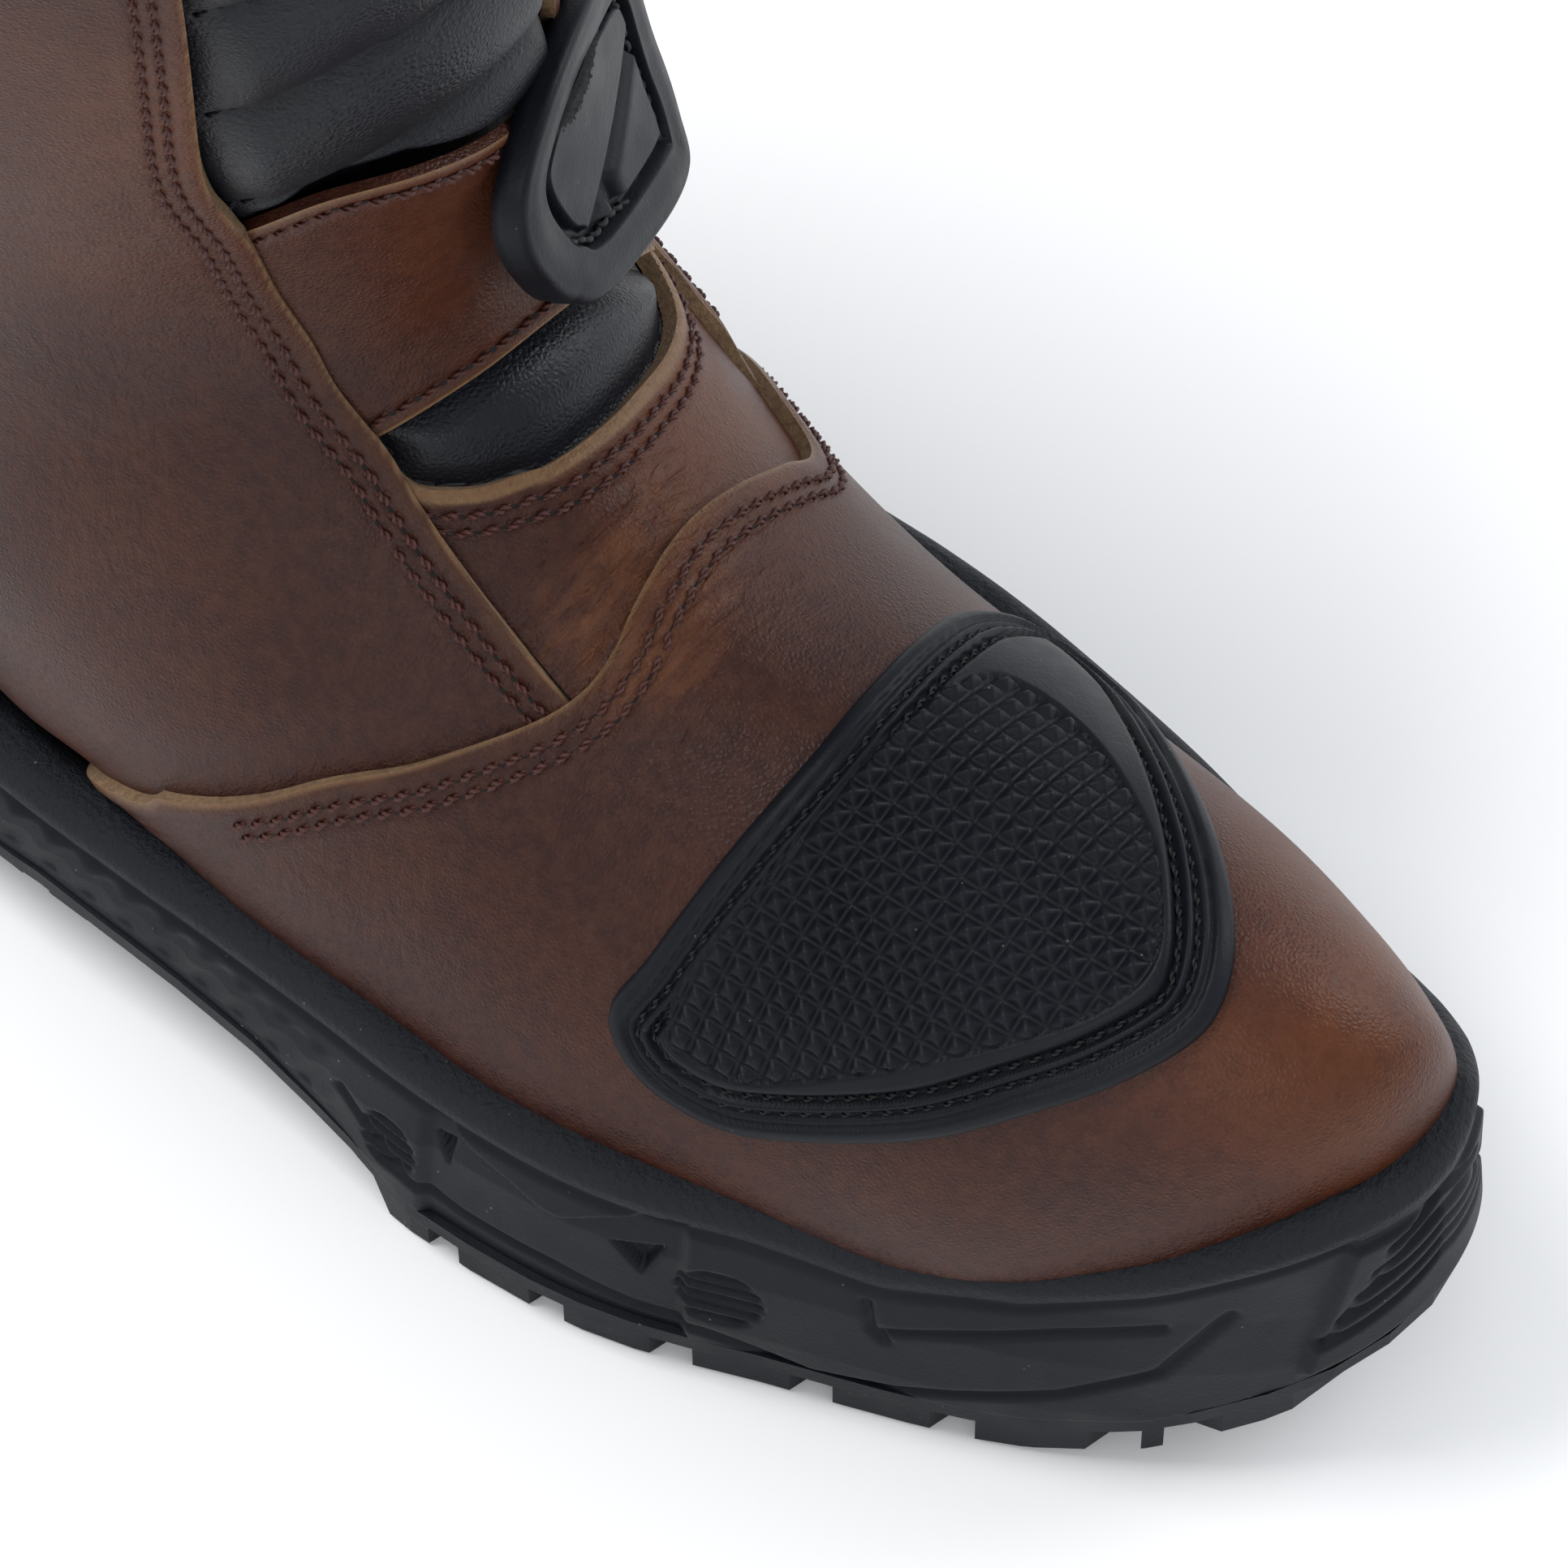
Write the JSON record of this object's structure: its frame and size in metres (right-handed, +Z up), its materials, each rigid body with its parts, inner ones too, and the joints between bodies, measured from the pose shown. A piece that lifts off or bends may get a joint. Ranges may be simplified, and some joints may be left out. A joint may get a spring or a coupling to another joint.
{
  "type": "motorcycle riding boot",
  "caption": "Right riding boot with a ribbed front gusset, hook-and-loop closures, a rubber shift pad over the toes and a thick lugged sole.",
  "frame": {"origin": "on the ground under the ankle, at the front of the heel block, where the tread rests", "axes": "+Z up the shaft, -Y towards the toe, -X towards the outer side of the right foot"},
  "size_m": [0.124, 0.3005, 0.3152],
  "materials": {
    "sole_rubber": "moulded, satin",
    "trim_rubber": "moulded, satin",
    "brown_leather": "oiled pull-up leather, worn satin",
    "black_leather": "fine-grain, satin",
    "lining_fabric": "knitted mesh",
    "hook_and_loop": "fuzzy loops and stiff hooks",
    "footbed_foam": "cloth-faced foam",
    "board": "pressed fibre board",
    "stiffener": "thermoformed sheet",
    "steel": "plain spring steel"
  },
  "bodies": {
    "boot": {"outsole": "sole_rubber", "midsole": "sole_rubber", "insole_board": "board", "shank": "steel", "footbed": "footbed_foam", "toe_puff": "stiffener", "heel_counter": "stiffener", "lateral_ankle_pad": "stiffener", "medial_ankle_pad": "stiffener", "lining": "lining_fabric", "toe_cap": "brown_leather", "vamp": "brown_leather", "lateral_quarter": "brown_leather", "medial_quarter": "brown_leather", "backstay": "brown_leather", "collar": "black_leather", "tongue_pad": "black_leather", "front_gusset": "black_leather", "shift_pad": "trim_rubber", "medial_guard": "trim_rubber", "ankle_strap": "brown_leather", "ankle_loop_patch": "hook_and_loop", "calf_strap": "brown_leather", "calf_loop_patch": "hook_and_loop"},
    "ankle_closure": {"ankle_hook_patch": "hook_and_loop", "ankle_band": "black_leather", "ankle_tab": "trim_rubber"},
    "calf_closure": {"calf_hook_patch": "hook_and_loop", "calf_band": "black_leather", "calf_tab": "trim_rubber"}
  },
  "joints": [
    {"name": "ankle_closure_hinge", "type": "hinge", "parent": "boot", "child": "ankle_closure", "pos_m": [0.04588, -0.04796, 0.0961], "axis": [0.0366, 0.5358, 0.8436], "range_deg": [0, 100]},
    {"name": "calf_closure_hinge", "type": "hinge", "parent": "boot", "child": "calf_closure", "pos_m": [0.05361, -0.05776, 0.26878], "axis": [0.0372, 0.0389, 0.9986], "range_deg": [0, 100]}
  ]
}
